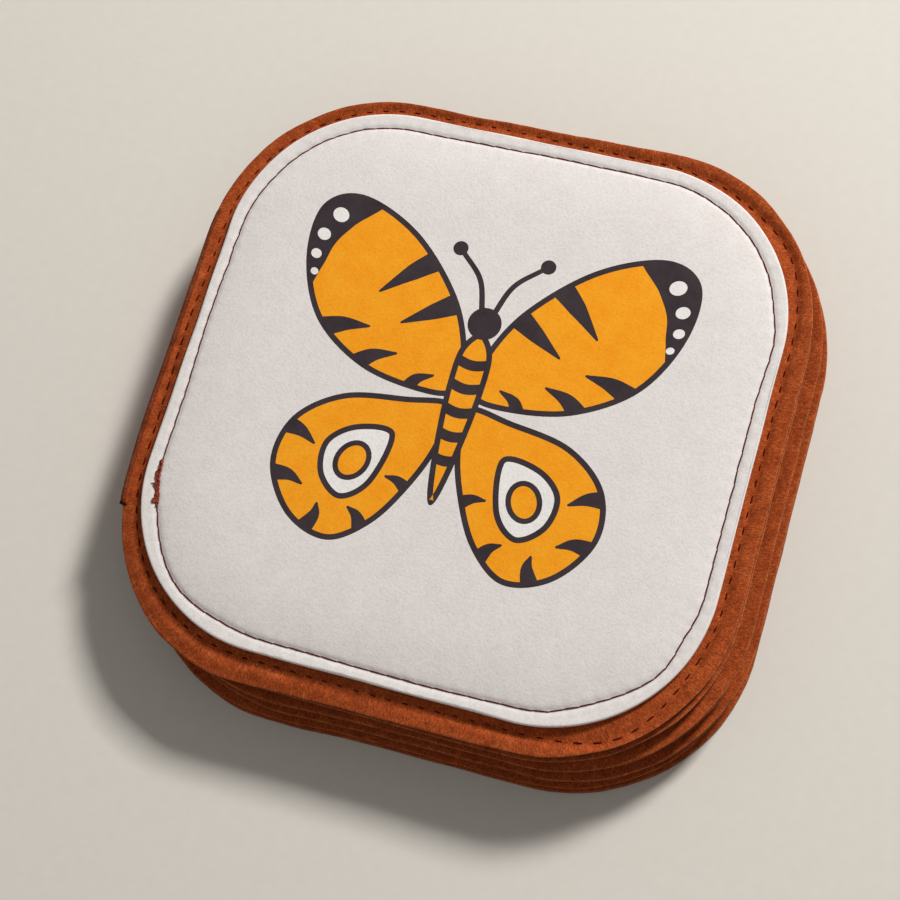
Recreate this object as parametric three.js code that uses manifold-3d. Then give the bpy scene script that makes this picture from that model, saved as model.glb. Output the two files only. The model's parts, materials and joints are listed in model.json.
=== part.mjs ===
// Cloth book: a soft felt book with four leaves of two felt sheets each, closed and lying on its back cover.
// Millimetres, +Z up. The origin is the centre of the back cover's underside. The spine is on the -X side,
// the fore edge on the +X side and the head of the page towards +Y.
// The soft pile leans: the covers and the spine follow one slope, and each page leaf has slid by its own
// amount. The covers and page leaves turn about lines along Y at the edges of the spine.
import * as THREE from "three";
import { mergeVertices } from "three/addons/utils/BufferGeometryUtils.js";
import Module from "manifold-3d";

const wasm = await Module();
wasm.setup();

// Leaves
const leafSize = 160;
const cornerRadius = 46.6;
const feltThickness = 1.6;
const seamGap = 0.3;
const leafClearance = 0.3;
const feltEdgeRounding = 0.4;
const leanX = 5;
const leanY = 5.2;

// How far each page leaf has slid over the back cover
const leaf1SlideX = -1.8;
const leaf1SlideY = 3.4;
const leaf2SlideX = -0.2;
const leaf2SlideY = 2.2;

// Stitched valley in the outer felt of each cover. On the front it runs along the front panel.
const valleyInset = 3.7;
const valleyDepth = 0.4;
const valleyHalfWidth = 1.5;

// Page panels sewn on the six inner faces
const pagePanelThickness = 0.6;
const pagePanelMargin = 5.5;
const pagePanelRounding = 0.15;

// Front panel and its padding
const frontPanelSize = 149;
const frontPanelThickness = 1.1;
const frontPanelShiftX = -0.5;
const frontPanelShiftY = 1.2;
const frontPanelRounding = 0.35;
const threadInset = 3.3;
const threadDip = 0.25;
const threadHalfWidth = 0.8;
const crownHeight = 1.6;
const crownWidth = 24;
const paddingRimThickness = 0.2;

// Spine
const spineLength = 84;
const spineFeltThickness = 1.3;
const liningThickness = 1.2;
const liningInset = 3;
const spineEdgeRounding = 0.35;

// Hinge tongues of the page leaves
const tongueThickness = 1.2;
const tongueLength = 66;
const tongueReach = 1.6;
const tongueOverlap = 3;

// Smoothness: counts of segments
const cornerSegments = 8;
const crownRings = 6;
const ringCrowding = 1.6;
const rootSegments = 8;

const feltColour = 0xa0461a;
const panelColour = 0xe3dcd8;
const paddingColour = 0xf0eeea;

// Levels of the pile, from the table up
const leafThickness = 2 * feltThickness + seamGap;
const panelSpace = seamGap + pagePanelThickness;
const leafPitch = leafThickness + 2 * panelSpace + leafClearance;
const backLevel = 0;
const leaf2Level = leafPitch;
const leaf1Level = 2 * leafPitch;
const coverLevel = 3 * leafPitch;
const pileTop = coverLevel + leafThickness;
const upperFeltRise = feltThickness + seamGap;
const halfLeaf = leafSize / 2;

// How far a level of the leaning covers and spine stands over from the back cover's underside
const leanAt = (z) => new THREE.Vector2((-leanX * z) / pileTop, (leanY * z) / pileTop);
const leftEdgeAt = (z) => leanAt(z).x - halfLeaf;

// Closed solid from a section carried round a rounded rectangle. The section is a list of [inset, z] points,
// from the middle of the top, outwards, and back under to the middle of the bottom. A point may have a shift
// of its own after them.
function carriedRound({ halfX, halfY, radius, lean = leanAt, shift = new THREE.Vector2(), section }) {
  const points = [];
  const faces = [];
  const perRing = 4 * (cornerSegments + 1);
  const centreOf = ([, z, ownShift]) => lean(z).clone().add(ownShift ?? shift);
  for (const ring of section) {
    const [inset, z] = ring;
    const centre = centreOf(ring);
    for (let corner = 0; corner < 4; corner++) {
      const signX = corner === 0 || corner === 3 ? 1 : -1;
      const signY = corner < 2 ? 1 : -1;
      for (let step = 0; step <= cornerSegments; step++) {
        const angle = (corner + step / cornerSegments) * (Math.PI / 2);
        points.push(
          centre.x + signX * (halfX - radius) + (radius - inset) * Math.cos(angle),
          centre.y + signY * (halfY - radius) + (radius - inset) * Math.sin(angle),
          z,
        );
      }
    }
  }
  for (let ring = 0; ring + 1 < section.length; ring++) {
    for (let k = 0; k < perRing; k++) {
      const next = (k + 1) % perRing;
      const a = ring * perRing + k;
      const b = ring * perRing + next;
      faces.push(a, a + perRing, b, b, a + perRing, b + perRing);
    }
  }
  const cap = (ring, facesUp) => {
    const [, z] = section[ring];
    const centre = centreOf(section[ring]);
    const middle = points.length / 3;
    points.push(centre.x, centre.y, z);
    for (let k = 0; k < perRing; k++) {
      const a = ring * perRing + k;
      const b = ring * perRing + ((k + 1) % perRing);
      faces.push(middle, facesUp ? a : b, facesUp ? b : a);
    }
  };
  cap(0, true);
  cap(section.length - 1, false);
  return new THREE.BufferGeometry()
    .setAttribute("position", new THREE.Float32BufferAttribute(points, 3))
    .setIndex(faces);
}

// Outer end of a sheet's section, with its two arrises rounded
function roundedEdge(bottom, top, rounding) {
  return [
    [rounding, top],
    [0, top - rounding],
    [0, bottom + rounding],
    [rounding, bottom],
  ];
}

// Height of the front panel's crown at an inset from the panel's edge
const crownStart = threadInset + threadHalfWidth;
function crownAt(inset) {
  const along = THREE.MathUtils.clamp((inset - crownStart) / crownWidth, 0, 1);
  return crownHeight * (1 - (1 - along) ** 3);
}

// Rings of a crowned surface above a base level, from its middle out to an inset
function crownedRings(base, outerInset) {
  const rings = [];
  const run = crownStart + crownWidth - outerInset;
  for (let ring = crownRings; ring >= 0; ring--) {
    const inset = outerInset + run * (ring / crownRings) ** ringCrowding;
    rings.push([inset, base + crownAt(inset)]);
  }
  return rings;
}

const toSolid = (geometry) => {
  const bare = geometry.clone();
  bare.deleteAttribute("normal");
  bare.deleteAttribute("uv");
  const merged = mergeVertices(bare);
  const vertProperties = merged.attributes.position.array;
  const triVerts = new Uint32Array(merged.index.array);
  return new wasm.Manifold(new wasm.Mesh({ numProp: 3, vertProperties, triVerts }));
};

const toGeometry = (solid) => {
  const { vertProperties, triVerts } = solid.getMesh();
  return new THREE.BufferGeometry()
    .setAttribute("position", new THREE.BufferAttribute(vertProperties, 3))
    .setIndex(new THREE.BufferAttribute(triVerts, 1));
};

const join = (first, second) => toGeometry(toSolid(first).add(toSolid(second)));

// Felt sheet of a cover, flat on both faces
const coverSheet = (bottom) =>
  carriedRound({
    halfX: halfLeaf,
    halfY: halfLeaf,
    radius: cornerRadius,
    section: roundedEdge(bottom, bottom + feltThickness, feltEdgeRounding),
  });

// Felt sheet with the stitched valley in its outer face, which looks up or down
function valleySheet(bottom, facesUp, valleyShift) {
  const top = bottom + feltThickness;
  const outer = facesUp ? top : bottom;
  const inwards = facesUp ? -1 : 1;
  const valley = [
    [valleyInset + valleyHalfWidth, outer, valleyShift],
    [valleyInset, outer + inwards * valleyDepth, valleyShift],
    [valleyInset - valleyHalfWidth, outer, valleyShift],
  ];
  const edge = roundedEdge(bottom, top, feltEdgeRounding);
  return carriedRound({
    halfX: halfLeaf,
    halfY: halfLeaf,
    radius: cornerRadius,
    section: facesUp ? [...valley, ...edge] : [...edge, ...valley.reverse()],
  });
}

// Where the hinge parts of the leaning spine lie. The hinge line runs up the left edges of the covers.
const lowHinge = new THREE.Vector2(0, seamGap + spineFeltThickness);
lowHinge.x = leftEdgeAt(lowHinge.y);
const highHinge = new THREE.Vector2(leftEdgeAt(pileTop), pileTop);
const spineRun = highHinge.clone().sub(lowHinge);
const spineAngle = Math.atan2(-spineRun.x, spineRun.y);
const rootRadius = tongueThickness / 2;
const rootDistance = liningThickness + seamGap + rootRadius;
const pageSetback = (rootDistance + tongueReach) / Math.cos(spineAngle);

// Page sheets stop short of the spine by the reach of their tongues
const pageHalfX = halfLeaf - pageSetback / 2;
const pageShift = new THREE.Vector2(pageSetback / 2, 0);

const pageSheet = (bottom, slide) =>
  carriedRound({
    halfX: pageHalfX,
    halfY: halfLeaf,
    radius: cornerRadius,
    lean: () => slide,
    shift: pageShift,
    section: roundedEdge(bottom, bottom + feltThickness, feltEdgeRounding),
  });

// Centre of a tongue's round root at a level, in the plane across the spine
const rootAt = (z) => new THREE.Vector2(leftEdgeAt(z) + rootDistance / Math.cos(spineAngle), z);

// Page sheet with its hinge tongue, which ends in a half-round root beside the spine lining
function tonguedSheet(bottom, slide) {
  const level = bottom + feltThickness / 2;
  const root = rootAt(level);
  const reach = slide.x - halfLeaf + pageSetback + tongueOverlap - root.x;
  const profile = new THREE.Shape();
  profile.moveTo(reach, -rootRadius);
  profile.lineTo(reach, rootRadius);
  profile.lineTo(0, rootRadius);
  profile.absarc(0, 0, rootRadius, Math.PI / 2, (3 * Math.PI) / 2, false);
  profile.closePath();
  const tongue = new THREE.ExtrudeGeometry(profile, {
    depth: tongueLength,
    bevelEnabled: false,
    curveSegments: rootSegments,
  });
  tongue.rotateX(Math.PI / 2);
  tongue.translate(root.x, slide.y + tongueLength / 2, root.y);
  return join(pageSheet(bottom, slide), tongue);
}

// Page panel, level with the cover panels of its leaf and inset from the felt's edge all round
function pagePanel(bottom, setback, lean) {
  const halfX = halfLeaf - setback / 2 - pagePanelMargin;
  return carriedRound({
    halfX,
    halfY: halfLeaf - pagePanelMargin,
    radius: cornerRadius - pagePanelMargin,
    lean,
    shift: new THREE.Vector2(setback / 2, 0),
    section: roundedEdge(bottom, bottom + pagePanelThickness, pagePanelRounding),
  });
}

// Front panel: flat rim, dip along the thread line, crown over the padding
const frontPanelShift = new THREE.Vector2(frontPanelShiftX, frontPanelShiftY);
const frontPanelOutline = {
  halfX: frontPanelSize / 2,
  halfY: frontPanelSize / 2,
  radius: cornerRadius - (leafSize - frontPanelSize) / 2,
  shift: frontPanelShift,
};
const panelBottom = pileTop + seamGap;

function frontPanel() {
  const rimTop = panelBottom + frontPanelThickness;
  const section = [
    ...crownedRings(rimTop, crownStart),
    [threadInset, rimTop - threadDip],
    [threadInset - threadHalfWidth, rimTop],
    ...roundedEdge(panelBottom, rimTop, frontPanelRounding),
    ...crownedRings(panelBottom, crownStart).reverse(),
  ];
  return carriedRound({ ...frontPanelOutline, section });
}

// The padding fills the hollow under the crown, out to where it is as thin as its rim
function padding() {
  const bottom = pileTop + seamGap;
  const rimShare = (seamGap + paddingRimThickness) / crownHeight;
  const inset = crownStart + crownWidth * (1 - Math.cbrt(1 - rimShare));
  const section = [...crownedRings(panelBottom - seamGap, inset), [inset, bottom]];
  return carriedRound({ ...frontPanelOutline, section });
}

// Strip of the spine: a rounded slab along the leaning hinge line, with its outer face outerFace inside it
function spineStrip({ outerFace, thickness, low, high, length }) {
  const strip = new THREE.Shape();
  const cornerX = (high - low) / 2 - spineEdgeRounding;
  const cornerY = length / 2 - spineEdgeRounding;
  strip.absarc(cornerX, cornerY, spineEdgeRounding, 0, Math.PI / 2);
  strip.absarc(-cornerX, cornerY, spineEdgeRounding, Math.PI / 2, Math.PI);
  strip.absarc(-cornerX, -cornerY, spineEdgeRounding, Math.PI, (3 * Math.PI) / 2);
  strip.absarc(cornerX, -cornerY, spineEdgeRounding, (3 * Math.PI) / 2, 2 * Math.PI);
  const bevel = spineEdgeRounding / 2;
  const geometry = new THREE.ExtrudeGeometry(strip, {
    depth: thickness - 2 * bevel,
    bevelEnabled: true,
    bevelThickness: bevel,
    bevelSize: bevel,
    bevelOffset: -bevel,
    bevelSegments: 1,
    curveSegments: 3,
  });
  // The slab's width turns to run up the spine, and its thickness to run inwards from the spine line
  geometry.translate(0, 0, bevel - thickness);
  geometry.rotateY(-Math.PI / 2);
  geometry.translate(outerFace, 0, (low + high) / 2);
  geometry.rotateY(-spineAngle);
  return geometry;
}

const root = new THREE.Group();

function body(position = new THREE.Vector3()) {
  const group = new THREE.Group();
  group.position.copy(position);
  root.add(group);
  return group;
}

function piece(group, name, geometry, colour, roughness) {
  const material = new THREE.MeshStandardMaterial({ color: colour, roughness, metalness: 0 });
  const mesh = new THREE.Mesh(geometry, material);
  mesh.name = name;
  group.add(mesh);
}

const felt = (group, name, geometry) => piece(group, name, geometry, feltColour, 0.95);
const plush = (group, name, geometry) => piece(group, name, geometry, panelColour, 0.9);

// Back cover
const backCover = body();
felt(backCover, "back_outer_felt", valleySheet(backLevel, false, new THREE.Vector2()));
felt(backCover, "back_inner_felt", coverSheet(backLevel + upperFeltRise));
plush(backCover, "back_page_panel", pagePanel(backLevel + leafThickness + seamGap, 0, leanAt));

// Page leaves: the tongue is on the felt nearest to the cover that the leaf turns with
function pageLeaf(name, level, slide, tongueOnTop) {
  const group = body();
  const upper = level + upperFeltRise;
  const panelRise = leafThickness + seamGap;
  felt(group, name + "_lower_felt", tongueOnTop ? pageSheet(level, slide) : tonguedSheet(level, slide));
  felt(group, name + "_upper_felt", tongueOnTop ? tonguedSheet(upper, slide) : pageSheet(upper, slide));
  plush(group, name + "_lower_panel", pagePanel(level - panelSpace, pageSetback, () => slide));
  plush(group, name + "_upper_panel", pagePanel(level + panelRise, pageSetback, () => slide));
}
pageLeaf("leaf_2", leaf2Level, new THREE.Vector2(leaf2SlideX, leaf2SlideY), false);
pageLeaf("leaf_1", leaf1Level, new THREE.Vector2(leaf1SlideX, leaf1SlideY), true);

// Front cover
const frontCover = body();
plush(frontCover, "cover_page_panel", pagePanel(coverLevel - panelSpace, 0, leanAt));
felt(frontCover, "cover_inner_felt", coverSheet(coverLevel));
felt(frontCover, "cover_outer_felt", valleySheet(coverLevel + upperFeltRise, true, frontPanelShift));
piece(frontCover, "cover_padding", padding(), paddingColour, 1);
plush(frontCover, "cover_panel", frontPanel());

// Spine
const spineHeight = spineRun.length();
const spine = body(new THREE.Vector3(lowHinge.x, leanY / 2, lowHinge.y));
felt(
  spine,
  "spine_felt",
  spineStrip({
    outerFace: -(seamGap + spineFeltThickness),
    thickness: spineFeltThickness,
    low: seamGap,
    high: spineHeight,
    length: spineLength,
  }),
);
const liningLow = (backLevel + leafThickness + seamGap - lowHinge.y) / Math.cos(spineAngle);
const liningHigh = (coverLevel - seamGap - lowHinge.y) / Math.cos(spineAngle);
const liningTilt = liningThickness * Math.tan(spineAngle);
felt(
  spine,
  "spine_lining",
  spineStrip({
    outerFace: 0,
    thickness: liningThickness,
    low: liningLow,
    high: liningHigh - liningTilt,
    length: spineLength - 2 * liningInset,
  }),
);

export default root;
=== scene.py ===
"""Cloth book: felt leaves, a padded plush panel, print, thread, spine, floor, light and camera."""
import json
from math import cos, pi, radians, sin, tau

import bpy
import numpy as np
from mathutils import Matrix, Vector
from mathutils.geometry import delaunay_2d_cdt


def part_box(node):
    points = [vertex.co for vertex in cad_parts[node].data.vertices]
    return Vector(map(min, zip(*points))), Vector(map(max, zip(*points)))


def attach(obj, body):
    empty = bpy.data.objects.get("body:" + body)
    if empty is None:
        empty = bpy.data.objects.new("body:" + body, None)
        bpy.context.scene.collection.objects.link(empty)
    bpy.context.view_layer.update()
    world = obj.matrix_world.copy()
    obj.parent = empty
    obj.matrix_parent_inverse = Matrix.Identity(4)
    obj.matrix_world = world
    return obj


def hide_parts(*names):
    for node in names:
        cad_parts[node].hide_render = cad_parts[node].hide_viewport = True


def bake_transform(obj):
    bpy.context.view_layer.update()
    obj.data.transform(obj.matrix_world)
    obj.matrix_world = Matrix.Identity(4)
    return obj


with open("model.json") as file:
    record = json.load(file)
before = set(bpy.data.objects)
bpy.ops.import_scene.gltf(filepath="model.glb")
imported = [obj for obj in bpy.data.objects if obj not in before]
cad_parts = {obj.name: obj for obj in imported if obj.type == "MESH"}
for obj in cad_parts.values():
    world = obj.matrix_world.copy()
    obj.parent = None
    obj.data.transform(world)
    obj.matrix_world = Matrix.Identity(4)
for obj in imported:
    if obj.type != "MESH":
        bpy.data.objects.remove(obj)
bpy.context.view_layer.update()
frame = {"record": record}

MM = 0.001

# Camera, as the photograph was taken, aimed from the middle of the front panel's rim
CAMERA_AZIMUTH = radians(40.03)
CAMERA_ELEVATION = radians(70.98)
CAMERA_ROLL = radians(-24.80)
CAMERA_DISTANCE = 515.3 * MM
CAMERA_AIM = Vector((-3.55, -7.66, -18.5)) * MM
CAMERA_LENS = 78.9
CAMERA_SENSOR = 36.0

# Light: direction, distance, size, power and colour
KEY_LIGHT = ((0.35, 0.72, 0.64), 1.6, 0.3, 27, (1.0, 0.98, 0.955))
FILL_LIGHT = ((0.6, -0.8, 1.2), 1.8, 1.6, 1.4, (1.0, 0.98, 0.96))
WORLD_COLOUR = (1.0, 0.975, 0.95, 1)
WORLD_STRENGTH = 0.2
FLOOR_HALF = 4.0

# Tables of pairs from here on give millimetres at shares of the way round an outline, from the lower end of
# its right side. Tables of single numbers are distances inside the outline, one for each ring of the mesh.

# Leaves: outline, cut edge and the seam that joins the two sheets of a leaf
CORNER_RADIUS = 46.6 * MM
OUTLINE_STEP = 1.6 * MM
COVER_STEP = 0.85 * MM
EDGE_ROUNDING = 0.3 * MM
EDGE_DEGREES = (25, 60, 90)
EDGE_UNDERCUT = 0.45 * MM
CUT_WOBBLE = 0.25 * MM
SNIP_SHARE = 0.2
CUT_RUN = 8 * MM
SEAM_INSET = 3.7 * MM
SEAM_DEPTH = 0.3 * MM
SEAM_WIDTH = 1.0 * MM
LIP_WAVE = 0.16 * MM
PLUSH_WOBBLE = 0.125 * MM

# Waves round an outline: how many, and their fewest and most periods
LIP_WAVES = (5, 3, 12)
CUT_WAVES = (7, 5, 40)
SNIP_WAVES = (8, 60, 160)
PAGE_WAVES = (7, 5, 60)
PANEL_WAVES = (7, 4, 30)

# Rings of a sheet
SHEET_INSETS = (30, 14, 8, 6.6, 5.8, 5.2, 4.7, 4.2, 3.7, 3.2, 2.7, 2.2, 1.6, 1.0, 0.6)
COVER_INSETS = (
    30, 16, 11, 9, 8, 7.3, 6.8, 6.3, 5.8, 5.35, 4.9, 4.45, 4, 3.55, 3.1, 2.65, 2.2, 1.75, 1.3, 0.9, 0.55
)

# Front cover: the seam runs in a valley outside the panel, and the felt's rim stands up outside it. Places at
# which the seam swings outwards: share of the way round, millimetres, and width as a share
OUTER_ROW = 1.65 * MM
ROW_SWELLS = (
    (0.173, 1.8, 0.026), (0.33, 0.6, 0.06), (0.56, 1.1, 0.045),
    (0.70, 0.5, 0.03), (0.81, 0.6, 0.04), (0.925, 3.5, 0.026),
)
VALLEY_SHIFTS = ((0.0, 0.45), (0.3, 0.4), (0.45, 0.2), (0.58, -0.55), (0.7, -0.7), (0.84, -0.7), (0.93, -0.1))
VALLEY_DEPTHS = (
    (0.0, 0.6), (0.2, 0.75), (0.3, 0.7), (0.45, 0.65), (0.6, 0.8), (0.8, 0.9), (0.92, 1.2), (0.96, 0.95)
)
VALLEY_INNER_WIDTHS = ((0.0, 1.9), (0.885, 1.9), (0.92, 3.5), (0.945, 3.0), (0.98, 1.9))
VALLEY_OUTER_WIDTH = 1.3 * MM
PINCH = 0.16 * MM
PINCH_WIDTH = 0.8 * MM
RIM_RISES = (
    (0.0, 0.25), (0.2, 0.3), (0.4, 0.3), (0.5, 0.05), (0.58, -0.4), (0.68, -0.75), (0.8, -0.75), (0.9, -0.2)
)
RIM_RUN = 2.6 * MM

# How far the felt sheets' edges bend up, and how far they reach past their outline
COVER_LIPS = (
    (0.0, 0.0), (0.2, 0.0), (0.35, 0.05), (0.47, -0.25), (0.58, -0.65),
    (0.69, -1.2), (0.77, -0.9), (0.83, -0.7), (0.91, 0.2), (0.96, 0.05),
)
UNDER_LIPS = (
    (0.0, 0.1), (0.25, 0.1), (0.42, 0.0), (0.5, 0.1), (0.62, 0.1),
    (0.7, -0.5), (0.83, -0.6), (0.91, 0.0), (0.96, -0.3),
)
FIRST_LIPS = ((0.0, 0.7), (0.13, 0.6), (0.25, 0.15), (0.72, 0.1), (0.82, -0.3), (0.9, -0.8), (0.96, 0.2))
UPPER_LIPS = ((0.0, 0.6), (0.13, 0.6), (0.25, 0.15), (0.6, 0.15), (0.72, -0.35), (0.9, -0.35), (0.96, 0.4))
LOWER_LIPS = ((0.0, 0.55), (0.13, 0.55), (0.25, -0.6), (0.6, -0.6), (0.72, 0.0), (0.9, 0.0), (0.96, 0.2))
BASE_LIPS = ((0.0, -0.6),)
COVER_SPREAD = (
    (0.0, 0.0), (0.12, 0.2), (0.185, 1.2), (0.21, 1.4), (0.25, 0.9), (0.3, 0.35),
    (0.36, 0.0), (0.41, 0.6), (0.45, 0.9), (0.5, 0.8), (0.56, 0.4), (0.62, 0.7),
    (0.66, 1.3), (0.695, 1.8), (0.72, 1.5), (0.76, 0.4), (0.8, 0.1), (0.9, 0.0),
)
UNDER_SPREAD = (
    (0.0, 0.0), (0.25, -0.2), (0.42, 0.2), (0.52, 0.0), (0.62, 0.0),
    (0.7, 0.4), (0.8, 0.4), (0.9, 0.35), (0.95, 0.4),
)
LEAF_SPREAD = (
    (0.0, 0.4), (0.12, 0.3), (0.2, 0.6), (0.3, 0.0), (0.62, 0.0),
    (0.66, 1.0), (0.71, 1.5), (0.75, 1.2), (0.8, 0.3), (0.88, 0.0),
)

# Front panel
PANEL_MARGIN = 5.5 * MM
PANEL_THICKNESS = 1.1 * MM
PANEL_ROUNDING = 0.45 * MM
PANEL_DEGREES = (20, 40, 65, 90)
PANEL_STEP = 1.0 * MM
PANEL_GRID = 1.5 * MM
PANEL_INSETS = (0.8, 1.4, 1.9, 2.3, 2.7, 3.05, 3.4, 3.75, 4.1, 4.5, 4.9, 5.5, 6.3, 7.2, 8.2)
PANEL_WAVE = 0.14 * MM
THREAD_INSETS = (
    (0.0, 3.3), (0.09, 3.3), (0.125, 2.6), (0.15, 3.6), (0.20, 3.8), (0.30, 3.5), (0.37, 4.1),
    (0.46, 4.1), (0.50, 3.4), (0.55, 2.9), (0.60, 3.6), (0.63, 3.5), (0.655, 4.3), (0.70, 3.1),
    (0.73, 4.1), (0.76, 3.4), (0.83, 3.0), (0.88, 3.6), (0.92, 4.4), (0.955, 2.9), (0.98, 3.9),
)
THREAD_DIP = 0.34 * MM
THREAD_DIP_WIDTH = 0.7 * MM
PUCKER = 0.07 * MM
PUCKER_WIDTH = 2.2 * MM
RIM_LIFTS = ((0.0, 0.0), (0.66, 0.0), (0.76, 0.2), (0.9, 0.22), (0.96, 0.0))
RIM_LIFT_WIDTH = 3 * MM
CROWN_HEIGHT = 1.45 * MM
CROWN_WIDTH = 24 * MM
GRID_INSET = 9 * MM
DISC_POINTS = 28
PRINT_LINE = 1.5
STRIPE_END = 0.7

# Page panels. Edge and back: millimetres inside the outline, and millimetres from the face and from the back
PAGE_PANEL_MARGIN = 5.5 * MM
PAGE_THREAD_INSET = 2.6 * MM
PAGE_DIP_SHARE = 0.45
PAGE_INSETS = (20, 8, 5, 4, 3.3, 2.9, 2.6, 2.3, 1.9, 1.2, 0.5)
PAGE_EDGE = ((0.08, 0.06), (0.0, 0.2))
PAGE_BACK = ((0.0, 0.1), (0.1, 0.0), (20, 0.0))
PAGE_CUT_RUN = 2 * MM

# Thread. Points of a stitch: share of the way from hole to hole, lift over the cloth in millimetres, and its
# radius as a share of the thread's. A flat stitch lies open, and a sunk one shows in its middle only.
STITCH_PITCH = 4.2 * MM
THREAD_RADIUS = 0.2 * MM
THREAD_SIDES = 6
STITCH_SLANT = 0.06 * MM
SLANT_SCATTER = 0.5
LIFT_SCATTER = 0.15
HOLE_DRIFT = 0.03
HOLE_SCATTER = 0.07 * MM
FLAT_STITCH = (
    (-0.03, -0.12, 0.8), (0.05, 0.02, 1), (0.2, 0.1, 1), (0.5, 0.13, 1),
    (0.8, 0.1, 1), (0.95, 0.02, 1), (1.03, -0.12, 0.8),
)
SUNK_STITCH = (
    (0.2, -0.35, 0.8), (0.28, -0.14, 1), (0.4, 0.0, 1.1), (0.6, 0.0, 1.1), (0.72, -0.14, 1), (0.8, -0.35, 0.8)
)

# Tack where the panel's thread begins and ends, in the lower left corner
TACK_SHARE = 0.6245
TACK_LENGTH = 16.0 * MM
TACK_STRANDS = 6

# Its zigzags in millimetres: how far from the tack's ends they begin and end, their steps, reach and lift.
# Then their thickness as a share of the thread's, and the knot, with its place along the tack
TACK_ENDS = (0, 3)
TACK_STEPS = (0.8, 2.4)
TACK_REACH = (0.3, 1.0)
TACK_LIFTS = (0.0, 0.36)
TACK_SIZES = (1.0, 1.3)
TACK_KNOT = 12.9
TACK_KNOT_TURNS = 5
TACK_KNOT_POINTS = 70

# Spine: its outer strip, its lining, and the tongues that join the page leaves to it
SPINE_STEP = 1.5 * MM
SPINE_STATIONS = 16
SPINE_END_STEP = 0.12 * MM
SPINE_END_SIZES = (0.9, 0.98)
SPINE_WOBBLE = 0.12 * MM
SPINE_FOOT = 1.1 * MM
SPINE_TOP = 0.1 * MM
SPINE_CURL = 0.3 * MM
SPINE_CURL_RUN = 5 * MM
SPINE_LOW_ROW = 4.0 * MM
SPINE_HIGH_ROW = 2.0 * MM
SPINE_ROW_MARGIN = 2.5 * MM
SPINE_GAP = 0.06 * MM
SPINE_THICKNESS = 1.45 * MM
SPINE_TUCK = 0.75 * MM
SPINE_TUCK_START = 20 * MM
SPINE_TUCK_RUN = 20 * MM
LINING_THICKNESS = 1.2 * MM
SPINE_SCATTER = 0.05 * MM
KNOT_RADIUS = 0.24 * MM
KNOT_TURNS = 2.6
KNOT_POINTS = 46
TONGUE_LENGTH = 66 * MM
TONGUE_THICKNESS = 1.2 * MM
TONGUE_END_THICKNESS = 1.5 * MM
TONGUE_GAP = 0.26 * MM
TONGUE_END_GAP = 0.05 * MM
TONGUE_STATIONS = 12

# Sheets whose solids have a tongue, and the other sheet of the leaf, which gives their outline
TONGUED = {"leaf_1_upper_felt": "leaf_1_lower_felt", "leaf_2_lower_felt": "leaf_2_upper_felt"}

# Faces of the front panel's mesh. The rim's faces take a lighter plush, painted light
WHITE, ORANGE, CHARCOAL, BRIGHT, RIM = range(5)


# Outlines


def noise_line(seed, waves, low, high):
    """A smooth closed line of about unit height, the sum of waves with low to high periods, as a function of
    the share of the way round."""
    rng = np.random.default_rng(seed)
    turns = rng.integers(low, high, waves)
    phases = rng.uniform(0, tau, waves)
    sizes = rng.uniform(0.4, 1.0, waves)
    sizes /= sizes.sum()

    def at(share):
        share = np.asarray(share, float)
        return sum(a * np.sin(tau * n * share + p) for a, n, p in zip(sizes, turns, phases))

    return at


class Outline:
    """A rounded rectangle walked anticlockwise in even steps: points, outward normals and shares."""

    def __init__(self, centre, half, radius, step=OUTLINE_STEP):
        self.centre = np.array(centre[:2], float)
        self.half = np.array(half, float)
        self.radius = radius
        self.sides = (2 * (half[1] - radius), 2 * (half[0] - radius))
        self.length = 2 * sum(self.sides) + tau * radius
        count = 4 * round(self.length / step / 4)
        self.shares = np.arange(count) / count
        self.points, self.normals = map(np.array, zip(*(self.at(share) for share in self.shares)))

    def at(self, share):
        """Point and outward normal at a share of the way round, from the lower end of the right side."""
        quarter = pi * self.radius / 2
        left = self.length * (share % 1.0)
        turn = 0
        while left >= self.sides[turn % 2] + quarter:
            left -= self.sides[turn % 2] + quarter
            turn += 1
        side = self.sides[turn % 2]
        angle = turn * pi / 2
        out = np.array((cos(angle), sin(angle)))
        ahead = np.array((-out[1], out[0]))
        reach = self.half[turn % 2]
        if left < side:
            return self.centre + out * reach + ahead * (left - side / 2), out
        round_angle = (left - side) / self.radius
        normal = out * cos(round_angle) + ahead * sin(round_angle)
        return self.centre + out * (reach - self.radius) + ahead * side / 2 + normal * self.radius, normal

    def share_of(self, xy):
        """Share of the way round at which the outline comes nearest to each point."""
        away = np.asarray(xy, float) - self.centre
        walked = np.zeros(len(away))
        begun = 0.0
        for turn in range(4):
            side = self.sides[turn % 2]
            past_out = away[:, 0] - (self.half[turn % 2] - self.radius)
            past_ahead = away[:, 1] - side / 2
            on_side = (np.abs(away[:, 1]) <= side / 2) & (past_out >= np.abs(away[:, 1]) - side / 2)
            on_corner = (past_out > 0) & (past_ahead > 0)
            turned = self.radius * np.arctan2(past_ahead, past_out)
            walked = np.where(on_side, begun + side / 2 + away[:, 1], walked)
            walked = np.where(on_corner, begun + side + turned, walked)
            begun += side + pi * self.radius / 2
            away = np.column_stack([away[:, 1], -away[:, 0]])
        return walked / self.length

    def grown(self, distance):
        return Outline(self.centre, self.half + distance, self.radius + distance)

    def inset_of(self, xy):
        """How far points lie inside the outline."""
        past = np.abs(np.asarray(xy) - self.centre) - (self.half - self.radius)
        outside = np.linalg.norm(np.maximum(past, 0), axis=-1)
        return self.radius - outside - np.minimum(np.max(past, axis=-1), 0)

    def area(self):
        return 4 * self.half[0] * self.half[1] - (4 - pi) * self.radius**2


def smoothstep(x):
    x = np.clip(x, 0, 1)
    return x * x * (3 - 2 * x)


def bell(distance, width):
    return np.exp(-((distance / width) ** 2))


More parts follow.
